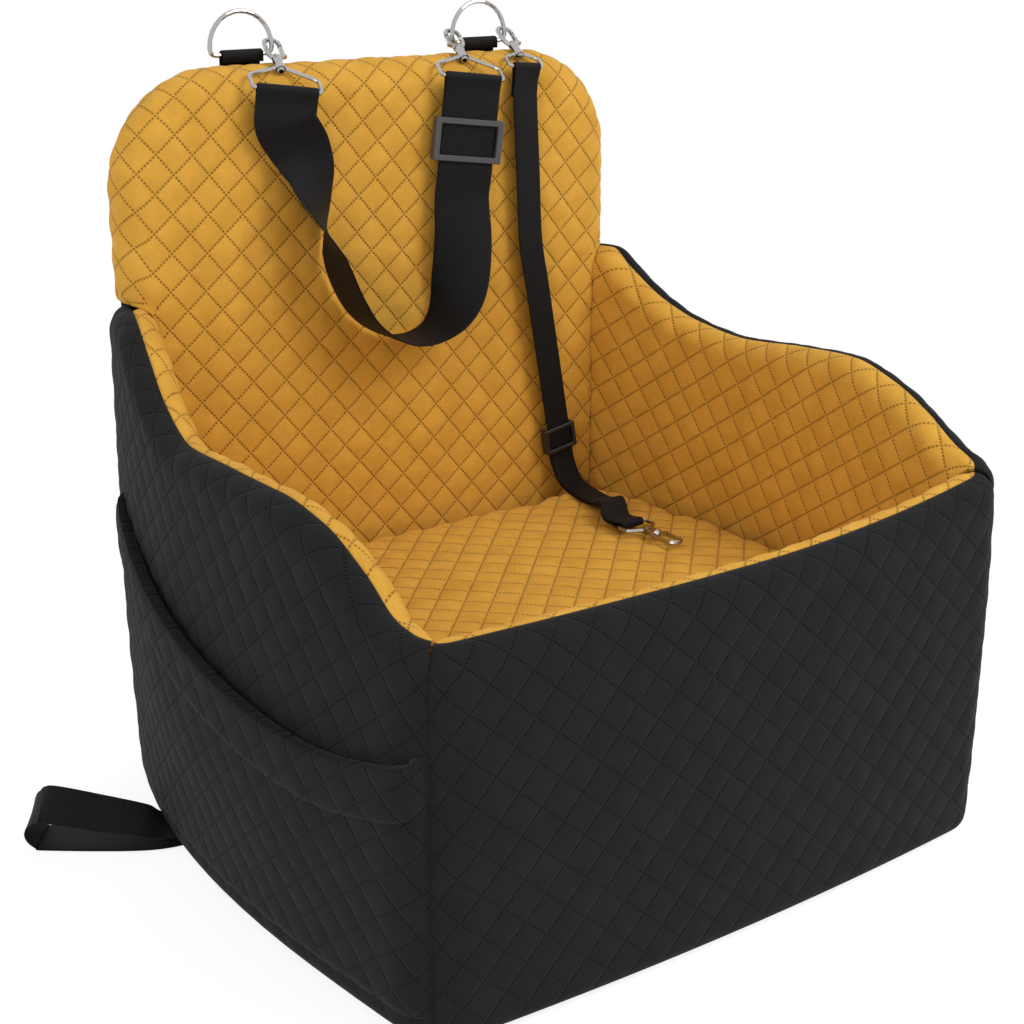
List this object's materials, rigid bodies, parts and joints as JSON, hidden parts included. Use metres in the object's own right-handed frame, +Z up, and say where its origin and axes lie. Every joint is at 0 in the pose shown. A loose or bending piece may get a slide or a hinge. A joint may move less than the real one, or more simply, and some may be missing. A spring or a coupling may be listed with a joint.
{
  "type": "dog car seat",
  "caption": "Padded booster seat for a dog with quilted walls, tall backrest, loose cushion, side pocket, clip-on shoulder strap and adjustable safety tether.",
  "frame": {"origin": "on the floor, under the middle of the seat without its loose straps", "axes": "+Z up, the open front of the seat faces -Y, +X is on the right seen from the front"},
  "size_m": [0.6733, 0.5228, 0.63],
  "materials": {
    "mustard_velvet": "short-pile velvet, diamond quilted",
    "black_quilt": "matt woven, diamond quilted",
    "foam": "open-cell padding",
    "black_webbing": "ribbed webbing",
    "chrome": "polished",
    "slider_plastic": "satin"
  },
  "bodies": {
    "seat": {"bottom_panel": "black_quilt", "floor_lining": "black_quilt", "left_outer_cover": "black_quilt", "right_outer_cover": "black_quilt", "front_outer_cover": "black_quilt", "back_outer_cover": "black_quilt", "left_pocket": "black_quilt", "left_pocket_hem": "black_quilt", "cushion_bottom_panel": "black_quilt", "left_lining": "mustard_velvet", "right_lining": "mustard_velvet", "front_lining": "mustard_velvet", "backrest_lining": "mustard_velvet", "cushion_cover": "mustard_velvet", "base_foam": "foam", "left_wall_foam": "foam", "right_wall_foam": "foam", "front_wall_foam": "foam", "backrest_foam": "foam", "cushion_foam": "foam", "left_tab": "black_webbing", "right_tab": "black_webbing", "shoulder_webbing": "black_webbing", "shoulder_webbing_return": "black_webbing", "tether_webbing": "black_webbing", "tether_webbing_return": "black_webbing", "anchor_loop": "black_webbing", "shoulder_left_bail": "chrome", "shoulder_right_bail": "chrome", "tether_top_bail": "chrome", "tether_low_bail": "chrome"},
    "left_ring_body": {"left_d_ring": "chrome"},
    "right_ring_body": {"right_d_ring": "chrome"},
    "shoulder_slider_body": {"shoulder_slider": "slider_plastic"},
    "tether_slider_body": {"tether_slider": "slider_plastic"},
    "shoulder_left_hook_body": {"shoulder_left_hook": "chrome", "shoulder_left_gate_pin": "chrome"},
    "shoulder_left_gate_body": {"shoulder_left_gate": "chrome"},
    "shoulder_right_hook_body": {"shoulder_right_hook": "chrome", "shoulder_right_gate_pin": "chrome"},
    "shoulder_right_gate_body": {"shoulder_right_gate": "chrome"},
    "tether_top_hook_body": {"tether_top_hook": "chrome", "tether_top_gate_pin": "chrome"},
    "tether_top_gate_body": {"tether_top_gate": "chrome"},
    "tether_low_hook_body": {"tether_low_hook": "chrome", "tether_low_gate_pin": "chrome"},
    "tether_low_gate_body": {"tether_low_gate": "chrome"}
  },
  "joints": [
    {"name": "left_ring_tilt", "type": "hinge", "parent": "seat", "child": "left_ring_body", "pos_m": [-0.10606, 0.24655, 0.594], "axis": [1, 0, 0], "range_deg": [-2, 22]},
    {"name": "right_ring_tilt", "type": "hinge", "parent": "seat", "child": "right_ring_body", "pos_m": [0.12394, 0.24655, 0.594], "axis": [1, 0, 0], "range_deg": [-2, 22]},
    {"name": "shoulder_left_swivel", "type": "hinge", "parent": "seat", "child": "shoulder_left_hook_body", "pos_m": [-0.08636, 0.22056, 0.586], "axis": [0.2516, 0.8382, 0.4839], "range_deg": [-15, 15]},
    {"name": "shoulder_left_gate_hinge", "type": "hinge", "parent": "shoulder_left_hook_body", "child": "shoulder_left_gate_body", "pos_m": [-0.08094, 0.22829, 0.59046], "axis": [0, -0.5, 0.866], "range_deg": [0, 28], "stiffness_Nm_per_rad": 0.05, "springref_deg": -11.46},
    {"name": "shoulder_right_swivel", "type": "hinge", "parent": "seat", "child": "shoulder_right_hook_body", "pos_m": [0.0892, 0.22044, 0.58593], "axis": [0.2334, 0.8421, 0.4862], "range_deg": [-15, 15]},
    {"name": "shoulder_right_gate_hinge", "type": "hinge", "parent": "shoulder_right_hook_body", "child": "shoulder_right_gate_body", "pos_m": [0.08862, 0.22947, 0.59114], "axis": [0, 0.5, -0.866], "range_deg": [0, 28], "stiffness_Nm_per_rad": 0.05, "springref_deg": -11.46},
    {"name": "tether_top_swivel", "type": "hinge", "parent": "seat", "child": "tether_top_hook_body", "pos_m": [0.14654, 0.22004, 0.58569], "axis": [0.158, 0.8551, 0.4937], "range_deg": [-15, 15]},
    {"name": "tether_top_gate_hinge", "type": "hinge", "parent": "tether_top_hook_body", "child": "tether_top_gate_body", "pos_m": [0.15108, 0.22818, 0.5904], "axis": [0, -0.5, 0.866], "range_deg": [0, 28], "stiffness_Nm_per_rad": 0.05, "springref_deg": -11.46},
    {"name": "tether_low_swivel", "type": "hinge", "parent": "seat", "child": "tether_low_hook_body", "pos_m": [0.15669, 0.03945, 0.19556], "axis": [0.0797, -0.9966, -0.0199], "range_deg": [-12, 12]},
    {"name": "tether_low_gate_hinge", "type": "hinge", "parent": "tether_low_hook_body", "child": "tether_low_gate_body", "pos_m": [0.16048, 0.02973, 0.19537], "axis": [0, 0.02, -0.9998], "range_deg": [0, 28], "stiffness_Nm_per_rad": 0.05, "springref_deg": -11.46},
    {"name": "shoulder_slider_slide", "type": "slide", "parent": "seat", "child": "shoulder_slider_body", "axis": [-0.1142, 0.0237, -0.9932], "range_m": [0, 0.03], "deforming": ["shoulder_webbing_return"]},
    {"name": "tether_slider_slide", "type": "slide", "parent": "seat", "child": "tether_slider_body", "axis": [-0.1779, 0, 0.9841], "range_m": [0, 0.03], "deforming": ["tether_webbing_return"]}
  ]
}
